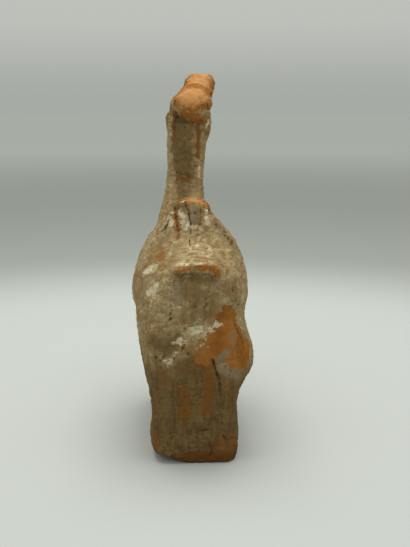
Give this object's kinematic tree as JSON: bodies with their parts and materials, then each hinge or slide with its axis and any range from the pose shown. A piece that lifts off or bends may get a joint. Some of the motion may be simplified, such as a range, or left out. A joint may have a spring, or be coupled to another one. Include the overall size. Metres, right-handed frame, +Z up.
{
  "type": "terracotta camel figure",
  "caption": "Standing Bactrian camel of mould-pressed terracotta on a low slab, head raised and turned, legs joined in pairs by a web of clay, open arch under the belly",
  "frame": {"origin": "middle of the footprint box, on the plane that the slab stands on", "axes": "+Z up, the camel faces -Y, its left side is +X"},
  "size_m": [0.095, 0.2434, 0.3001],
  "materials": {
    "terracotta": "matt fired clay with worn pale slip and soil"
  },
  "bodies": {
    "root": {"camel": "terracotta"}
  },
  "joints": []
}
